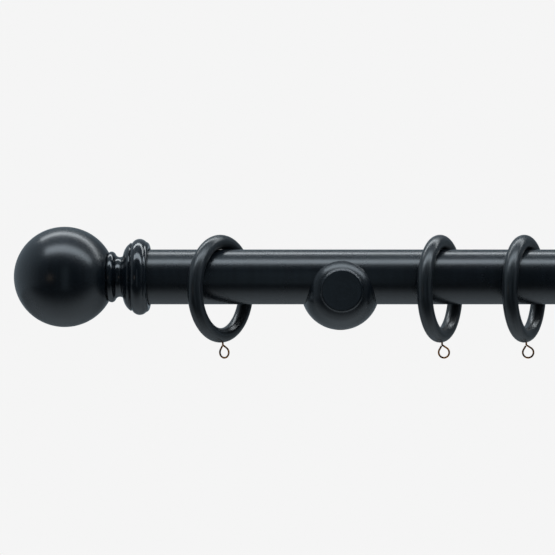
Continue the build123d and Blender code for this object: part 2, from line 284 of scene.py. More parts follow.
def turned(outline, steps, closed=False):
    """Spin an outline of (distance, radius) pairs about X into a closed surface."""
    shape = bmesh.new()
    corners = [shape.verts.new((along, 0.0, radius)) for along, radius in outline]
    for first, second in zip(corners, corners[1:]):
        shape.edges.new((first, second))
    if closed:
        shape.edges.new((corners[-1], corners[0]))
    bmesh.ops.spin(
        shape, geom=shape.verts[:] + shape.edges[:], cent=(0, 0, 0), axis=(1, 0, 0),
        dvec=(0, 0, 0), angle=math.tau, steps=steps, use_merge=True,
    )
    bmesh.ops.remove_doubles(shape, verts=shape.verts[:], dist=TOUCH)
    bmesh.ops.recalc_face_normals(shape, faces=shape.faces[:])
    return shape


def sharp_edges(shape, sharper_than):
    """Edges between two faces that turn by more than an angle in degrees."""
    limit = math.radians(sharper_than)
    return [
        edge for edge in shape.edges
        if len(edge.link_faces) == 2 and edge.calc_face_angle(0.0) > limit
    ]


def bevel(shape, edges, rounding, segments=3):
    bmesh.ops.bevel(
        shape, geom=edges, offset=rounding, offset_type="OFFSET", segments=segments,
        profile=0.5, affect="EDGES", clamp_overlap=True, material=-1,
    )


def round_edges(shape, rounding, sharper_than=25.0, segments=3):
    """Round every edge that turns by more than an angle in degrees."""
    bevel(shape, sharp_edges(shape, sharper_than), rounding, segments)
    bmesh.ops.recalc_face_normals(shape, faces=shape.faces[:])


def only(kind, items):
    return [item for item in items if isinstance(item, kind)]


def mark_lathe(shape):
    """Store each point's distance, radius and bearing about X, before it is placed."""
    lathe = shape.verts.layers.float_vector.new(LATHE)
    lathe_side = shape.verts.layers.float.new(LATHE_SIDE)
    for vert in shape.verts:
        bearing = math.atan2(vert.co.z, vert.co.y)
        radius = math.hypot(vert.co.y, vert.co.z)
        vert[lathe] = (vert.co.x, radius, math.cos(bearing))
        vert[lathe_side] = math.sin(bearing)


def new_object(name, data):
    """An object in the scene that holds a mesh, a light or a camera."""
    item = bpy.data.objects.new(name, data)
    bpy.context.scene.collection.objects.link(item)
    return item


def standing(place, turn):
    """Move to a place, after a turn about the upright axis."""
    return Matrix.Translation(place) @ Matrix.Rotation(turn, 4, "Z")


def finish_piece(name, shape, place, material):
    """Turn a bmesh into a smooth object whose place is in its mesh."""
    bmesh.ops.transform(shape, matrix=place, verts=shape.verts[:])
    mesh = bpy.data.meshes.new(name)
    shape.to_mesh(mesh)
    shape.free()
    mesh.shade_smooth()
    mesh.materials.append(bpy.data.materials[material])
    return new_object(name, mesh)


def ring_place(number):
    """A ring's side, -1 on the left, and its count from that end of the pole."""
    if number <= RING_COUNT // 2:
        return -1, number - 1
    return 1, RING_COUNT - number


def stand_for(piece, node, body):
    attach(piece, body)
    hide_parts(node)


# ---------------------------------------------------------------- materials


def fill(tree, node, inputs):
    """Give a node its inputs: plain values, or sockets to link from."""
    for key, value in inputs.items():
        if isinstance(value, bpy.types.NodeSocket):
            tree.links.new(value, node.inputs[key])
        else:
            node.inputs[key].default_value = value


def add(tree, kind, label, inputs=None, **settings):
    """New node, with its settings made before its inputs are filled."""
    node = tree.nodes.new(kind)
    node.label = label
    for key, value in settings.items():
        setattr(node, key, value)
    fill(tree, node, inputs or {})
    return node


def calculate(tree, label, operation, *values):
    """Output of a math node."""
    node = add(tree, "ShaderNodeMath", label, dict(enumerate(values)), operation=operation)
    return node.outputs["Value"]


def multiply_vectors(tree, label, first, second):
    node = add(tree, "ShaderNodeVectorMath", label, {0: first, 1: second}, operation="MULTIPLY")
    return node.outputs["Vector"]


def noise(tree, label, place, scale, detail):
    """Output of a noise texture, from 0 to 1."""
    inputs = {"Vector": place, "Scale": scale, "Detail": detail}
    return add(tree, "ShaderNodeTexNoise", label, inputs).outputs["Fac"]


def remap(tree, label, value, low, high, first=0.0, last=1.0, kind="LINEAR"):
    """Carry a value from low to high over to first to last, and no further."""
    inputs = {"Value": value, "From Min": low, "From Max": high, "To Min": first, "To Max": last}
    node = add(tree, "ShaderNodeMapRange", label, inputs, interpolation_type=kind)
    return node.outputs["Result"]


def mix_colours(tree, label, first, second, factor):
    """Mix of two colours; first and second are colours or sockets."""
    ends = {
        index: value if isinstance(value, bpy.types.NodeSocket) else (*value, 1.0)
        for index, value in ((6, first), (7, second))
    }
    return add(tree, "ShaderNodeMix", label, {0: factor, **ends}, data_type="RGBA").outputs[2]


def new_group(name, output, **inputs):
    """A shader node group and the values that it is given; an input is a number or a vector."""
    group = bpy.data.node_groups.new(name, "ShaderNodeTree")
    for socket_name, default in inputs.items():
        kind = "NodeSocketFloat" if isinstance(default, float) else "NodeSocketVector"
        socket = group.interface.new_socket(socket_name, in_out="INPUT", socket_type=kind)
        if default is not None:
            socket.default_value = default
    group.interface.new_socket(output, in_out="OUTPUT", socket_type="NodeSocketFloat")
    return group, add(group, "NodeGroupInput", "Values").outputs


def place_group(tree, group_name, label, **inputs):
    """Output of a shared effect, placed with its own values."""
    group = bpy.data.node_groups[group_name]
    return add(tree, "ShaderNodeGroup", label, inputs, node_tree=group).outputs[0]


def lathe_grain_group():
    """Streaks that follow the turning: fine across the piece, long around it."""
    group, given = new_group("lathe_grain", "Value", Across=900.0, Around=1.5, Contrast=1.0)
    lathe = add(group, "ShaderNodeAttribute", "Lathe coordinates", attribute_name=LATHE)
    side = add(group, "ShaderNodeAttribute", "Lathe side", attribute_name=LATHE_SIDE)
    scales = add(
        group, "ShaderNodeCombineXYZ", "Scales",
        {"X": given["Across"], "Y": given["Across"], "Z": given["Around"]},
    )
    place = multiply_vectors(
        group, "Scale the coordinates", lathe.outputs["Vector"], scales.outputs["Vector"]
    )
    turn = calculate(group, "Scale the side", "MULTIPLY", side.outputs["Fac"], given["Around"])
    streaks = add(
        group, "ShaderNodeTexNoise", "Streaks",
        {"Vector": place, "W": turn, "Scale": 1.0, "Detail": 3.0}, noise_dimensions="4D",
    )
    half = calculate(group, "Half the contrast", "MULTIPLY", given["Contrast"], 0.5)
    low = calculate(group, "Low end", "SUBTRACT", 0.5, half)
    high = calculate(group, "High end", "ADD", 0.5, half)
    value = remap(group, "Contrast", streaks.outputs["Fac"], 0.3, 0.7, low, high)
    add(group, "NodeGroupOutput", "Result", {"Value": value})


def long_grain_group():
    """Wood grain drawn out along one way, read from a piece's own coordinates."""
    group, given = new_group(
        "long_grain", "Value", Vector=None, Stretch=(6.0, 260.0, 260.0), Detail=4.0
    )
    place = multiply_vectors(group, "Stretch", given["Vector"], given["Stretch"])
    grain = add(
        group, "ShaderNodeTexNoise", "Grain",
        {"Vector": place, "Scale": 1.0, "Detail": given["Detail"], "Distortion": 0.25},
    )
    add(group, "NodeGroupOutput", "Result", {"Value": grain.outputs["Fac"]})


def edge_wear_group():
    """Mask that is high on worn convex edges, broken up by noise."""
    group, given = new_group("edge_wear", "Mask", Vector=None, Amount=0.5, Breakup=180.0)
    bend = add(group, "ShaderNodeNewGeometry", "Edges").outputs["Pointiness"]
    edges = remap(group, "Convex edges", bend, 0.53, 0.62)
    breakup = noise(group, "Breakup", given["Vector"], given["Breakup"], 4.0)
    patches = remap(group, "Patches", breakup, 0.4, 0.65)
    both = calculate(group, "Edges in patches", "MULTIPLY", edges, patches)
    mask = calculate(group, "Amount", "MULTIPLY", both, given["Amount"])
    add(group, "NodeGroupOutput", "Result", {"Mask": mask})


def handling_group():
    """Roughness that drifts a little over the surface, in faint smudges."""
    group, given = new_group(
        "handling", "Roughness", Vector=None, Roughness=0.3, Drift=0.04, Smudges=22.0
    )
    smudges = noise(group, "Smudges", given["Vector"], given["Smudges"], 5.0)
    centred = calculate(group, "About zero", "SUBTRACT", smudges, 0.5)
    spread = calculate(group, "Full range", "MULTIPLY", centred, 4.0)
    drift = calculate(group, "Drift", "MULTIPLY", spread, given["Drift"])
    total = calculate(group, "Roughness", "ADD", drift, given["Roughness"])
    add(group, "NodeGroupOutput", "Result", {"Roughness": total})


def new_material(name, metallic=0.0):
    """A material's tree and main shader, and the coordinates of its piece."""
    material = bpy.data.materials.new(name)
    material.use_nodes = True
    tree = material.node_tree
    shader = tree.nodes["Principled BSDF"]
    shader.inputs["Metallic"].default_value = metallic
    place = add(tree, "ShaderNodeTexCoord", "Piece coordinates").outputs["Object"]
    return tree, shader, place


def fill_surface(tree, shader, paint, roughness, height, strength, depth):
    """Feed the main shader, with the height as a fine relief."""
    relief = add(
        tree, "ShaderNodeBump", "Relief", {"Strength": strength, "Distance": depth, "Height": height}
    ).outputs["Normal"]
    fill(tree, shader, {"Base Color": paint, "Roughness": roughness, "Normal": relief})


def lacquer_material(name, base, thin, worn, roughness, drift, wear, stretch, across, around, depth):
    """Lacquer over turned wood: grain and tool marks show faintly through the coat."""
    tree, shader, place = new_material(name)
    grain = place_group(tree, "long_grain", "Wood grain", Vector=place, Stretch=stretch)
    marks = place_group(tree, "lathe_grain", "Tool marks", Across=across, Around=around)
    edges = place_group(tree, "edge_wear", "Rubbed edges", Vector=place, Amount=wear)
    polish = place_group(
        tree, "handling", "Handling", Vector=place, Roughness=roughness, Drift=drift
    )
    half = calculate(tree, "Half the tool marks", "MULTIPLY", marks, 0.5)
    both = calculate(tree, "Grain under tool marks", "MULTIPLY_ADD", grain, 0.5, half)
    streaks = remap(tree, "Streaks", both, 0.35, 0.75)
    paint = mix_colours(tree, "Lacquer", base, thin, streaks)
    rubbed = mix_colours(tree, "Rubbed lacquer", paint, worn, edges)
    fill_surface(tree, shader, rubbed, polish, both, 0.35, depth)


def metal_material(name, bright, dull, roughness, drift, stretch, depth, size):
    """Metal whose tarnish and fine scratches vary over the piece."""
    tree, shader, place = new_material(name, metallic=1.0)
    patches = remap(tree, "Patches", noise(tree, "Tarnish", place, size, 5.0), 0.38, 0.62)
    scratches = place_group(tree, "long_grain", "Scratches", Vector=place, Stretch=stretch)
    polish = place_group(
        tree, "handling", "Handling", Vector=place, Roughness=roughness, Drift=drift
    )
    surface = mix_colours(tree, "Metal", bright, dull, patches)
    fill_surface(tree, shader, surface, polish, scratches, 0.3, depth)


# ---------------------------------------------------------------- operators


class CURTAINPOLE_OT_make_materials(bpy.types.Operator):
    """Build the shared effects and the finish of every piece"""

    bl_idname = "curtainpole.make_materials"
    bl_label = "Finishes"

    def execute(self, context):
        finish = context.scene.curtain_pole.finish
        lathe_grain_group()
        long_grain_group()
        edge_wear_group()
        handling_group()
        coat = {"base": finish.lacquer, "thin": finish.lacquer_light, "worn": finish.worn_wood}
        satin = {**coat, "roughness": finish.pole_roughness, "drift": 0.015, "wear": 0.3}
        lacquer_material(
            "pole_lacquer", **satin, stretch=(5.0, 420.0, 420.0), across=300.0, around=0.8,
            depth=0.000004,
        )
        lacquer_material(
            "turned_lacquer", **satin, stretch=(25.0, 300.0, 300.0), across=700.0, around=1.2,
            depth=0.000003,
        )
        lacquer_material(
            "bracket_lacquer", **satin, stretch=(300.0, 25.0, 300.0), across=700.0, around=1.2,
            depth=0.000003,
        )
        lacquer_material(
            "collar_lacquer", **coat, roughness=finish.collar_roughness, drift=0.01, wear=0.3,
            stretch=(30.0, 300.0, 300.0), across=900.0, around=1.0, depth=0.000002,
        )
        lacquer_material(
            "ring_lacquer", base=finish.ring_lacquer, thin=finish.ring_streak,
            worn=finish.worn_wood, roughness=finish.ring_roughness, drift=0.04, wear=0.5,
            stretch=(90.0, 90.0, 90.0), across=1500.0, around=1.6, depth=0.000002,
        )
        metal_material(
            "antique_bronze", finish.bronze, finish.bronze_dark, roughness=0.32, drift=0.05,
            stretch=(900.0, 900.0, 900.0), depth=0.00003, size=420.0,
        )
        metal_material(
            "zinc_plate", finish.zinc, finish.zinc_dull, roughness=0.34, drift=0.05,
            stretch=(40.0, 900.0, 900.0), depth=0.00002, size=120.0,
        )
        metal_material(
            "plain_brass", finish.brass, finish.brass_dull, roughness=0.3, drift=0.05,
            stretch=(900.0, 60.0, 900.0), depth=0.00002, size=160.0,
        )
        metal_material(
            "black_oxide", finish.black_oxide, finish.black_oxide, roughness=0.42, drift=0.06,
            stretch=(700.0, 700.0, 700.0), depth=0.00003, size=300.0,
        )
        return {"FINISHED"}


class CURTAINPOLE_OT_make_pole(bpy.types.Operator):
    """Turn the long round pole, bored at each end for the finial's screw"""

    bl_idname = "curtainpole.make_pole"
    bl_label = "Pole"

    def execute(self, context):
        sizes = context.scene.curtain_pole.pole
        half = sizes.length / 2
        bore_floor = half - sizes.screw_depth
        ends = [
            (bore_floor, 0.0), (bore_floor, sizes.screw_hole), (half, sizes.screw_hole),
            (half, sizes.radius - sizes.chamfer), (half - sizes.chamfer, sizes.radius),
            (half - 2 * sizes.chamfer, sizes.radius),
        ]
        bands = 24
        middle = [(half * (1 - 2 * band / bands), sizes.radius) for band in range(1, bands)]
        outline = ends + middle + [(-along, radius) for along, radius in reversed(ends)]
        shape = turned(outline, sizes.steps)
        mark_lathe(shape)
        place = Matrix.Translation(POLE_CENTRE)
        piece = finish_piece("pole", shape, place, "pole_lacquer")
        stand_for(piece, "curtain_pole", "pole_and_brackets")
        return {"FINISHED"}


class CURTAINPOLE_OT_make_finials(bpy.types.Operator):
    """Turn the ball and the collar of each finial"""

    bl_idname = "curtainpole.make_finials"
    bl_label = "Finials"

    # Where a curve's middle or end lies, as a share of the way from one end to the other
    neck_along = 0.55
    cushion_along = 0.43
    cushion_out = 0.7
    mouth_share = 0.3

    def ball_outline(self, sizes, seat):
        """Seat towards +X, the ball's centre at zero."""
        bore_floor = seat - sizes.screw_depth
        start = math.atan2(sizes.seat_radius, seat)
        steps = 64
        bearings = [start + (math.pi - start) * step / steps for step in range(steps + 1)]
        dome = [
            (sizes.ball_radius * math.cos(bearing), sizes.ball_radius * math.sin(bearing))
            for bearing in bearings[:-1]
        ]
        return [
            (bore_floor, 0.0), (bore_floor, sizes.screw_hole), (seat, sizes.screw_hole),
            *dome, (-sizes.ball_radius, 0.0),
        ]

    def collar_outline(self, sizes):
        """From the ball's seat at zero to the lip towards +X."""
        top = sizes.collar_radius
        bead_edge = sizes.seat_radius - sizes.bead_drop
        neck_start = sizes.bead_length
        neck_end = neck_start + sizes.neck_length
        neck_end_radius = sizes.neck_radius + sizes.neck_rise
        step = sizes.step_length
        step_radius = top - sizes.step_drop
        groove_end = step + sizes.groove_width
        groove_radius = step_radius - sizes.groove_depth
        face = sizes.collar_length
        lip_start = face - sizes.lip_width
        lip_radius = top - sizes.lip_drop
        mouth_edge = sizes.mouth_radius + self.mouth_share * (lip_radius - sizes.mouth_radius)
        cushion_middle = neck_end + self.cushion_along * (step - neck_end)
        cushion_radius = neck_end_radius + self.cushion_out * (step_radius - neck_end_radius)
        lip_middle = (lip_radius + mouth_edge) / 2 + sizes.lip_width / 4
        socket_floor = face - sizes.socket_depth
        mouth_floor = face - sizes.mouth_depth
        outline = [(0.0, sizes.screw_hole), (0.0, bead_edge)]
        outline += arc(outline[-1], (neck_start / 2, sizes.seat_radius), (neck_start, bead_edge), 12)
        outline += arc(
            outline[-1], (neck_start + self.neck_along * sizes.neck_length, sizes.neck_radius),
            (neck_end, neck_end_radius), 12,
        )
        outline += arc(outline[-1], (cushion_middle, cushion_radius), (step, step_radius), 12)
        outline += [(step, groove_radius), (groove_end, groove_radius)]
        outline += arc(
            outline[-1], ((groove_end + lip_start) / 2, top), (lip_start, lip_radius), 20
        )
        outline += arc(
            outline[-1], (face - sizes.lip_width / 4, lip_middle), (face, mouth_edge), 8
        )
        outline += [
            (face, sizes.mouth_radius), (mouth_floor, sizes.mouth_radius),
            (mouth_floor, sizes.socket_radius), (socket_floor, sizes.socket_radius),
            (socket_floor, sizes.screw_hole),
        ]
        return outline

    def execute(self, context):
        sizes = context.scene.curtain_pole.finial
        seat = math.sqrt(sizes.ball_radius**2 - sizes.seat_radius**2)
        for hand in HANDS:
            low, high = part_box(f"{hand}_finial_ball")
            inward = 1 if hand == "left" else -1
            centre_x = low.x + sizes.ball_radius if hand == "left" else high.x - sizes.ball_radius
            turn = 0.0 if hand == "left" else math.pi
            centre = Vector((centre_x, POLE_CENTRE.y, POLE_CENTRE.z))
            seat_place = centre + Vector((inward * seat, 0.0, 0.0))
            ball = turned(self.ball_outline(sizes, seat), sizes.steps)
            mark_lathe(ball)
            piece = finish_piece(f"{hand}_ball", ball, standing(centre, turn), "turned_lacquer")
            stand_for(piece, f"{hand}_finial_ball", f"{hand}_finial")
            collar = turned(self.collar_outline(sizes), sizes.steps, closed=True)
            round_edges(collar, sizes.edge_rounding)
            mark_lathe(collar)
            place = standing(seat_place, turn)
            piece = finish_piece(f"{hand}_collar", collar, place, "collar_lacquer")
            stand_for(piece, f"{hand}_finial_collar", f"{hand}_finial")
        return {"FINISHED"}


class CURTAINPOLE_OT_make_brackets(bpy.types.Operator):
    """Turn each bracket, cut the hollow for the pole and drill it for the pole screw"""

    bl_idname = "curtainpole.make_brackets"
    bl_label = "Brackets"

    # Cup's foot behind its middle, as a share of its half depth
    foot_share = 0.8
    # Thinnest place of the neck, as a share of the way from the rose to the cup
    neck_share = 0.55
    # Directions in which the neck leaves the rose and meets the cup
    rose_way = Vector((0.3, -0.95))
    foot_way = Vector((0.75, 0.9))
    # How far the curve between cup and nose bulges past its chord
    bulge = (0.0002, 0.0003)
    # Rim points lie on the hollow to within this, and are joined when closer than this
    on_surface = 2e-5

    def outline(self, sizes, reach):
        """From the bore at the wall, over the rose, neck and cup, to the front of the nose."""
        def cup(distance):
            return sizes.cup_radius * math.sqrt(
                1 - ((distance - sizes.cup_middle) / sizes.cup_half_depth) ** 2
            )

        rose_front = sizes.rose_edge + sizes.rose_shoulder
        shoulder = sizes.rose_radius - sizes.rose_shoulder
        cup_foot = sizes.cup_middle - self.foot_share * sizes.cup_half_depth
        neck_front = cup_foot - 1.5 * sizes.foot_step
        neck_front_radius = cup(cup_foot) - sizes.foot_step
        neck_middle = rose_front + self.neck_share * (neck_front - rose_front)
        slope = math.sqrt(0.5)
        outline = [
            (sizes.insert_depth, 0.0), (sizes.insert_depth, sizes.insert_radius),
            (sizes.recess_depth, sizes.insert_radius), (sizes.recess_depth, sizes.recess_radius),
            (0.0, sizes.recess_radius), (0.0, sizes.rose_radius - sizes.foot_step),
            (sizes.foot_step, sizes.rose_radius), (sizes.rose_edge, sizes.rose_radius),
        ]
        outline += arc(
            outline[-1],
            (sizes.rose_edge + sizes.rose_shoulder * slope, shoulder + sizes.rose_shoulder * slope),
            (rose_front, shoulder), 8,
        )
        first = Vector((rose_front, sizes.cove_radius))
        middle = Vector((neck_middle, sizes.neck_radius))
        last = Vector((neck_front, neck_front_radius))
        back, on = (middle - first).x / 3, (last - middle).x / 3
        for handles in (
            (first, first + self.rose_way * back, middle - Vector((back, 0)), middle),
            (middle, middle + Vector((on, 0)), last - self.foot_way * on, last),
        ):
            curve = interpolate_bezier(*(point.to_3d() for point in handles), 14)
            outline += [tuple(point.xy) for point in curve]
        lip = -POLE_CENTRE.y + sizes.saddle_radius
        bands = 40
        stations = [cup_foot + (lip - cup_foot) * band / bands for band in range(bands + 1)]
        outline += [(distance, cup(distance)) for distance in stations]
        ends = (lip, cup(lip)), (reach - sizes.nose_height, sizes.nose_radius)
        halfway = [(one + other) / 2 + bulge for one, other, bulge in zip(*ends, self.bulge)]
        outline += arc(ends[0], halfway, ends[1], 8)
        rounding = sizes.nose_rounding
        edge = (reach - rounding, sizes.nose_radius)
        outline.append(edge)
        outline += arc(
            edge, (edge[0] + rounding * slope, edge[1] - rounding * (1 - slope)),
            (reach, sizes.nose_radius - rounding), 8,
        )
        outline += [(reach, sizes.nose_radius - 1.5 * rounding), (reach, 0.0)]
        return outline

    def channel(self, sizes):
        """Cutter for the pole's hollow, open above, drawn along the bracket's own axis."""
        shape = bmesh.new()
        bmesh.ops.create_circle(shape, cap_ends=True, radius=sizes.saddle_radius, segments=128)
        upper = [vert for vert in shape.verts if vert.co.y > -TOUCH]
        bmesh.ops.translate(shape, verts=upper, vec=(0.0, 2 * sizes.cup_radius, 0.0))
        side = bmesh.ops.extrude_face_region(shape, geom=shape.faces[:])["geom"]
        moved = only(bmesh.types.BMVert, side)
        bmesh.ops.translate(shape, verts=moved, vec=(0.0, 0.0, 4 * sizes.cup_radius))
        bmesh.ops.translate(shape, verts=shape.verts[:], vec=(0.0, 0.0, -2 * sizes.cup_radius))
        bmesh.ops.rotate(shape, verts=shape.verts[:], matrix=Matrix.Rotation(math.pi / 2, 3, "X"))
        centre = Vector((-POLE_CENTRE.y, 0.0, POLE_CENTRE.z + SADDLE_GAP))
        bmesh.ops.translate(shape, verts=shape.verts[:], vec=centre)
        bmesh.ops.recalc_face_normals(shape, faces=shape.faces[:])
        return shape

    def screw_hole(self, sizes):
        """Cutter for the pole screw's sunk head, up from below the cup."""
        shape = bmesh.new()
        bmesh.ops.create_cone(
            shape, cap_ends=True, segments=48, radius1=sizes.screw_radius,
            radius2=sizes.screw_radius, depth=sizes.cup_radius,
        )
        middle = sizes.screw_depth - sizes.cup_radius * 1.5
        bmesh.ops.translate(shape, verts=shape.verts[:], vec=(-POLE_CENTRE.y, 0.0, middle))
        return shape

    def cut_out(self, context, shape, cutter):
        """Take one bmesh out of another and return the result as a new bmesh."""
        holders = []
        for name, source in (("uncut", shape), ("cutter", cutter)):
            mesh = bpy.data.meshes.new(name)
            source.to_mesh(mesh)
            source.free()
            holders.append(new_object(name, mesh))
        body, tool = holders
        step = body.modifiers.new("cut", "BOOLEAN")
        step.operation = "DIFFERENCE"
        step.solver = "EXACT"
        step.object = tool
        context.view_layer.update()
        seen = body.evaluated_get(context.evaluated_depsgraph_get())
        result = bmesh.new()
        result.from_mesh(seen.to_mesh())
        seen.to_mesh_clear()
        for holder in holders:
            mesh = holder.data
            bpy.data.objects.remove(holder)
            bpy.data.meshes.remove(mesh)
        return result

    def round_saddle(self, shape, sizes):
        """Join the rim's closest points, then soften the rim where the cut meets the turning."""
        centre_x, centre_z = -POLE_CENTRE.y, POLE_CENTRE.z + SADDLE_GAP

        def on_cut(vert):
            across = vert.co.x - centre_x
            below = min(vert.co.z - centre_z, 0.0)
            return abs(math.hypot(across, below) - sizes.saddle_radius) < self.on_surface

        def rim():
            edges = sharp_edges(shape, sharper_than=30.0)
            return [edge for edge in edges if all(map(on_cut, edge.verts))]

        verts = list(dict.fromkeys(vert for edge in rim() for vert in edge.verts))
        bmesh.ops.remove_doubles(shape, verts=verts, dist=self.on_surface)
        bevel(shape, rim(), sizes.saddle_rounding)

    def execute(self, context):
        sizes = context.scene.curtain_pole.bracket
        for hand in HANDS:
            low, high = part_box(f"{hand}_bracket_body")
            shape = turned(self.outline(sizes, -low.y), sizes.steps)
            round_edges(shape, sizes.edge_rounding, sharper_than=40.0)
            shape = self.cut_out(context, shape, self.channel(sizes))
            self.round_saddle(shape, sizes)
            shape = self.cut_out(context, shape, self.screw_hole(sizes))
            mark_lathe(shape)
            place = standing(((low.x + high.x) / 2, 0.0, 0.0), -math.pi / 2)
            piece = finish_piece(f"{hand}_bracket", shape, place, "bracket_lacquer")
            stand_for(piece, f"{hand}_bracket_body", "pole_and_brackets")
        return {"FINISHED"}


class CURTAINPOLE_OT_make_rings(bpy.types.Operator):
    """Turn the rings and hang each one at its own angle"""

    bl_idname = "curtainpole.make_rings"
    bl_label = "Rings"

    def outline(self, sizes):
        left = (-sizes.half_width, sizes.crease_radius)
        right = (sizes.half_width, sizes.crease_radius)
        outside = arc(left, (0.0, sizes.outer_radius), right, 2 * sizes.arc_steps)
        inside = arc(right, (0.0, sizes.inner_radius), left, sizes.arc_steps)
        return outside + inside

    def execute(self, context):
        sizes = context.scene.curtain_pole.ring
        outline = self.outline(sizes)
        for number in RING_NUMBERS:
            low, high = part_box(f"ring_{number:02d}")
            side, from_end = ring_place(number)
            shape = turned(outline, sizes.steps, closed=True)
            round_edges(shape, sizes.crease_rounding, sharper_than=40.0)
            mark_lathe(shape)
            place = standing((low + high) / 2, side * sizes.turns[from_end])
            piece = finish_piece(f"wooden_ring_{number:02d}", shape, place, "ring_lacquer")
            stand_for(piece, f"ring_{number:02d}", f"ring_{number:02d}")
        return {"FINISHED"}


class CURTAINPOLE_OT_make_eyes(bpy.types.Operator):
    """Bend the screw eyes from wire and stand each one below its ring"""

    bl_idname = "curtainpole.make_eyes"
    bl_label = "Screw eyes"

    def bend(self, shape, rim, centre, axis, turn, steps):
        """Carry the wire's rim round a centre and return the new rim."""
        result = bmesh.ops.spin(
            shape, geom=rim, cent=centre, axis=axis, dvec=(0, 0, 0), angle=turn, steps=steps
        )
        return result["geom_last"]

    def run(self, shape, rim, step):
        """Carry the wire's rim straight on and return the new rim."""
        edges = only(bmesh.types.BMEdge, rim)
        result = bmesh.ops.extrude_edge_only(shape, edges=edges)["geom"]
        verts = only(bmesh.types.BMVert, result)
        bmesh.ops.translate(shape, verts=verts, vec=step)
        edges = only(bmesh.types.BMEdge, result)
        return verts + [edge for edge in edges if all(vert in verts for vert in edge.verts)]

    def wire_eye(self, sizes, shank):
        """Shank up the Z axis, its tip at the given height above the teardrop's tip at zero."""
        loop = Vector((math.sin(sizes.lean), 0.0, -math.cos(sizes.lean))) * sizes.apex_height
        opening = math.acos(sizes.loop_radius / sizes.apex_height)
        side_length = sizes.apex_height * math.sin(opening)
        half_tip = math.pi / 2 - opening
        first_turn = half_tip + sizes.lean
        cut = sizes.bend_radius * math.tan(first_turn / 2)
        first_way = Vector((math.sin(first_turn), 0.0, -math.cos(first_turn)))
        last_turn = half_tip - sizes.lean
        last_way = Vector((math.sin(last_turn), 0.0, math.cos(last_turn)))
        shape = bmesh.new()
        circle = bmesh.ops.create_circle(
            shape, cap_ends=False, radius=sizes.wire_radius / 4, segments=sizes.steps
        )["verts"]
        bmesh.ops.translate(shape, verts=circle, vec=(0.0, 0.0, shank))
        rim = circle + shape.edges[:]
        bmesh.ops.contextual_create(shape, geom=shape.edges[:])
        rim = self.run(shape, rim, Vector((0.0, 0.0, -sizes.point)))
        bmesh.ops.scale(shape, verts=only(bmesh.types.BMVert, rim), vec=(4.0, 4.0, 1.0))
        straight = shank - sizes.point - cut
        rim = self.run(shape, rim, Vector((0.0, 0.0, -straight)))
        centre = Vector((sizes.bend_radius, 0.0, cut))
        rim = self.bend(shape, rim, centre, (0, -1, 0), first_turn, 8)
        rim = self.run(shape, rim, first_way * (side_length - cut))
        rim = self.bend(shape, rim, loop, (0, 1, 0), math.tau - 2 * opening, 44)
        rim = self.run(shape, rim, last_way * (side_length - sizes.end_gap))
        bmesh.ops.contextual_create(shape, geom=only(bmesh.types.BMEdge, rim))
        bmesh.ops.remove_doubles(shape, verts=shape.verts[:], dist=TOUCH)
        bmesh.ops.recalc_face_normals(shape, faces=shape.faces[:])
        round_edges(shape, sizes.wire_radius / 5, sharper_than=50.0, segments=2)
        return shape

    def execute(self, context):
        sizes = context.scene.curtain_pole.eye
        for number in RING_NUMBERS:
            ring_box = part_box(f"ring_{number:02d}")
            low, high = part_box(f"screw_eye_{number:02d}")
            side, from_end = ring_place(number)
            x = (ring_box[0].x + ring_box[1].x) / 2 - side * sizes.offset
            loop_drop = sizes.apex_height * math.cos(sizes.lean) + sizes.loop_radius
            apex_z = low.z + sizes.wire_radius + loop_drop
            turn = -sizes.turns[from_end] if side < 0 else math.pi + sizes.turns[from_end]
            place = standing((x, POLE_CENTRE.y, apex_z), turn)
            shape = self.wire_eye(sizes, high.z - apex_z)
            piece = finish_piece(f"wire_eye_{number:02d}", shape, place, "antique_bronze")
            node = f"screw_eye_{number:02d}"
            stand_for(piece, node, node)
        return {"FINISHED"}


class CURTAINPOLE_OT_finish_frame(bpy.types.Operator):
    """Give the pieces that keep their own shape their finish"""

    bl_idname = "curtainpole.finish_frame"
    bl_label = "Fixings"

    def execute(self, context):
        finishes = {
            "wall_plate": "zinc_plate", "plate_stud": "zinc_plate", "threaded_insert": "plain_brass",
            "pole_screw": "black_oxide", "finial_screw": "zinc_plate",
        }
        for hand in HANDS:
            for part, material in finishes.items():
                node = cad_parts[f"{hand}_{part}"]
                node.data.materials.clear()
                node.data.materials.append(bpy.data.materials[material])
        return {"FINISHED"}


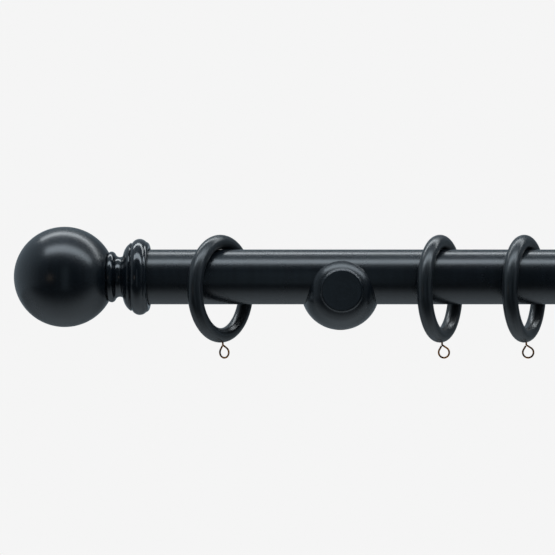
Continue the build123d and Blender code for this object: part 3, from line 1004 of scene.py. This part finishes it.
class CURTAINPOLE_OT_make_stage(bpy.types.Operator):
    """Set the camera, the soft lights, the pale floor and the backdrop"""

    bl_idname = "curtainpole.make_stage"
    bl_label = "Stage"

    def panel_light(self, name, aim, bearing, rise, distance, along, across, radiance, tint):
        """Soft rectangle aimed at a point; bearing 0 is in front, rise 90 is overhead."""
        light = bpy.data.lights.new(name, "AREA")
        light.shape = "RECTANGLE"
        light.size = along
        light.size_y = across
        light.energy = radiance * math.pi * along * across
        light.color = tint
        lamp = new_object(name, light)
        turn, rise = math.radians(bearing), math.radians(rise)
        way = Vector((
            math.sin(turn) * math.cos(rise), -math.cos(turn) * math.cos(rise), math.sin(rise)
        ))
        lamp.location = aim + way * distance
        lamp.rotation_euler = (-way).to_track_quat("-Z", "Y").to_euler()
        lamp.visible_camera = False

    def camera(self, stage):
        camera = bpy.data.cameras.new("camera")
        camera.lens = stage.focal_length
        camera.sensor_width = 36.0
        camera.shift_x = -0.02
        camera.shift_y = 0.0225
        camera.clip_start = 0.01
        holder = new_object("camera", camera)
        holder.location = (
            BRACKET_CENTRE.x - stage.beside_bracket,
            POLE_CENTRE.y - stage.distance,
            POLE_CENTRE.z - stage.below_pole,
        )
        holder.rotation_euler = (math.pi / 2, 0.0, 0.0)
        bpy.context.scene.camera = holder

    def fade(self, tree, label, value, start, end, first, last):
        """Smooth step of a value, from first to last between start and end."""
        return remap(tree, label, value, start, end, first, last, kind="SMOOTHSTEP")

    def seen_or_reflected(self, tree, reflected, seen):
        """One shader for what the camera sees straight on, another for every other ray."""
        ray = add(tree, "ShaderNodeLightPath", "What looks at it").outputs["Is Camera Ray"]
        mix = add(tree, "ShaderNodeMixShader", "Seen or reflected", {0: ray, 1: reflected, 2: seen})
        return mix.outputs["Shader"]

    def backdrop(self, stage):
        """Even pale backdrop as seen, and for reflections a studio that darkens to the front."""
        world = bpy.data.worlds.new("studio")
        bpy.context.scene.world = world
        world.use_nodes = True
        tree = world.node_tree
        tree.nodes.clear()
        way = add(tree, "ShaderNodeTexCoord", "Direction").outputs["Generated"]
        parts = add(tree, "ShaderNodeSeparateXYZ", "Right, back and up", {"Vector": way}).outputs
        behind = self.fade(
            tree, "Front to back", parts["Y"], start=-0.97, end=0.05, first=0.03, last=stage.studio
        )
        far = self.fade(tree, "Dimmer far behind", parts["Y"], start=0.25, end=1.0, first=1.0, last=0.62)
        right = self.fade(tree, "Left to right", parts["X"], start=-0.05, end=0.65, first=1.0, last=0.42)
        rear = calculate(tree, "Light from behind", "MULTIPLY", behind, far)
        amount = calculate(tree, "Studio light", "MULTIPLY", rear, right)
        pale = add(
            tree, "ShaderNodeBackground", "Backdrop", {"Color": (*[stage.backdrop] * 3, 1.0)}
        )
        dim = add(
            tree, "ShaderNodeBackground", "Surround",
            {"Color": (*stage.studio_tint, 1.0), "Strength": amount},
        )
        mix = self.seen_or_reflected(tree, dim.outputs["Background"], pale.outputs["Background"])
        add(tree, "ShaderNodeOutputWorld", "World", {"Surface": mix})

    def floor(self, stage):
        """Floor as pale as the backdrop when seen, save for painted shade below the object; in
        reflections, painted light behind and painted shade in front, in its colour and a painted glow.
        """
        pale, paler, dark = [(grey, grey, grey) for grey in (0.80, 0.84, 0.10)]
        tree, shader, place = new_material("pale_floor")
        mottle = noise(tree, "Mottle", place, 2.0, 2.0)
        surface = mix_colours(tree, "Floor", pale, paler, mottle)
        across = add(tree, "ShaderNodeSeparateXYZ", "Across the floor", {"Vector": place}).outputs["Y"]
        # Painted light and shade: a mask of where the floor counts as lit, unlit in front and dimmer far
        # behind
        front = self.fade(tree, "Front part unlit", across, start=-1.8, end=-0.2, first=0.0, last=1.0)
        rear = self.fade(tree, "Rear part dimmer", across, start=0.1, end=2.2, first=1.0, last=0.45)
        lit = calculate(tree, "Lit part of the floor", "MULTIPLY", front, rear)
        # Painted shade and painted glow: the floor's colour is dark where the mask is low, and it glows
        # where the mask is high
        fill(tree, shader, {
            "Base Color": mix_colours(tree, "Lit or dark", dark, surface, lit),
            "Roughness": 0.8,
            "Emission Color": (*stage.floor_tint, 1.0),
            "Emission Strength": calculate(tree, "Glow", "MULTIPLY", lit, stage.painted_floor_glow),
        })
        # Painted shade: the floor as seen is darker below the object, fading to the backdrop's
        # brightness at its edge
        reach = add(tree, "ShaderNodeVectorMath", "Reach", {0: place}, operation="LENGTH")
        paleness = remap(
            tree, "Fade to the backdrop", reach.outputs["Value"], stage.floor_drop,
            stage.floor_radius, stage.backdrop - stage.floor_shade, stage.backdrop,
        )
        seen = add(tree, "ShaderNodeEmission", "Floor as seen", {"Color": paleness})
        mix = self.seen_or_reflected(tree, shader.outputs["BSDF"], seen.outputs["Emission"])
        fill(tree, tree.nodes["Material Output"], {"Surface": mix})
        shape = bmesh.new()
        bmesh.ops.create_circle(shape, cap_ends=True, radius=stage.floor_radius, segments=96)
        below = Matrix.Translation((0.0, 0.0, -stage.floor_drop))
        finish_piece("floor", shape, below, "pale_floor")

    def execute(self, context):
        stage = context.scene.curtain_pole.stage
        self.camera(stage)
        self.backdrop(stage)
        self.floor(stage)
        middle = Vector((0.0, POLE_CENTRE.y, POLE_CENTRE.z))
        seen = Vector((BRACKET_CENTRE.x, POLE_CENTRE.y, POLE_CENTRE.z))
        self.panel_light(
            "front_strip", middle, bearing=0.0, rise=66.0, distance=1.3, along=3.0, across=0.42,
            radiance=6.2, tint=(0.80, 0.91, 1.0),
        )
        self.panel_light(
            "back_strip", middle, bearing=0.0, rise=116.0, distance=1.3, along=3.0, across=0.24,
            radiance=7.0, tint=(0.90, 0.96, 1.0),
        )
        self.panel_light(
            "front_glow", seen, bearing=-1.0, rise=-4.0, distance=0.95, along=0.24, across=0.9,
            radiance=0.30, tint=(0.66, 0.86, 1.0),
        )
        self.panel_light(
            "warm_lamp", seen, bearing=-32.0, rise=-2.0, distance=1.2, along=0.18, across=0.18,
            radiance=1.0, tint=(1.0, 0.80, 0.60),
        )
        context.scene.view_settings.view_transform = "Standard"
        return {"FINISHED"}


class CURTAINPOLE_PT_panel(bpy.types.Panel):
    """Lists the steps that build the curtain pole"""

    bl_idname = "CURTAINPOLE_PT_panel"
    bl_label = "Curtain pole"
    bl_space_type = "VIEW_3D"
    bl_region_type = "UI"
    bl_category = "Curtain pole"

    def draw(self, context):
        layout = self.layout
        for operator in OPERATORS:
            layout.operator(operator.bl_idname)
        settings = context.scene.curtain_pole
        for part in ("pole", "finial", "bracket", "ring", "eye", "finish", "stage"):
            box = layout.box()
            box.label(text=part.capitalize())
            group = getattr(settings, part)
            for name in group.bl_rna.properties.keys():
                if name not in ("rna_type", "name"):
                    box.prop(group, name)


OPERATORS = (
    CURTAINPOLE_OT_make_materials,
    CURTAINPOLE_OT_make_pole,
    CURTAINPOLE_OT_make_finials,
    CURTAINPOLE_OT_make_brackets,
    CURTAINPOLE_OT_make_rings,
    CURTAINPOLE_OT_make_eyes,
    CURTAINPOLE_OT_finish_frame,
    CURTAINPOLE_OT_make_stage,
)
CLASSES = (
    PoleSizes, FinialSizes, BracketSizes, RingSizes, EyeSizes, FinishColours, StageSettings,
    PoleSettings, *OPERATORS, CURTAINPOLE_PT_panel,
)


def register():
    for item in CLASSES:
        bpy.utils.register_class(item)
    bpy.types.Scene.curtain_pole = PointerProperty(type=PoleSettings)


def unregister():
    del bpy.types.Scene.curtain_pole
    for item in reversed(CLASSES):
        bpy.utils.unregister_class(item)


def main():
    register()
    bpy.ops.curtainpole.make_materials()
    bpy.ops.curtainpole.make_pole()
    bpy.ops.curtainpole.make_finials()
    bpy.ops.curtainpole.make_brackets()
    bpy.ops.curtainpole.make_rings()
    bpy.ops.curtainpole.make_eyes()
    bpy.ops.curtainpole.finish_frame()
    bpy.ops.curtainpole.make_stage()


if __name__ == "__main__":
    main()
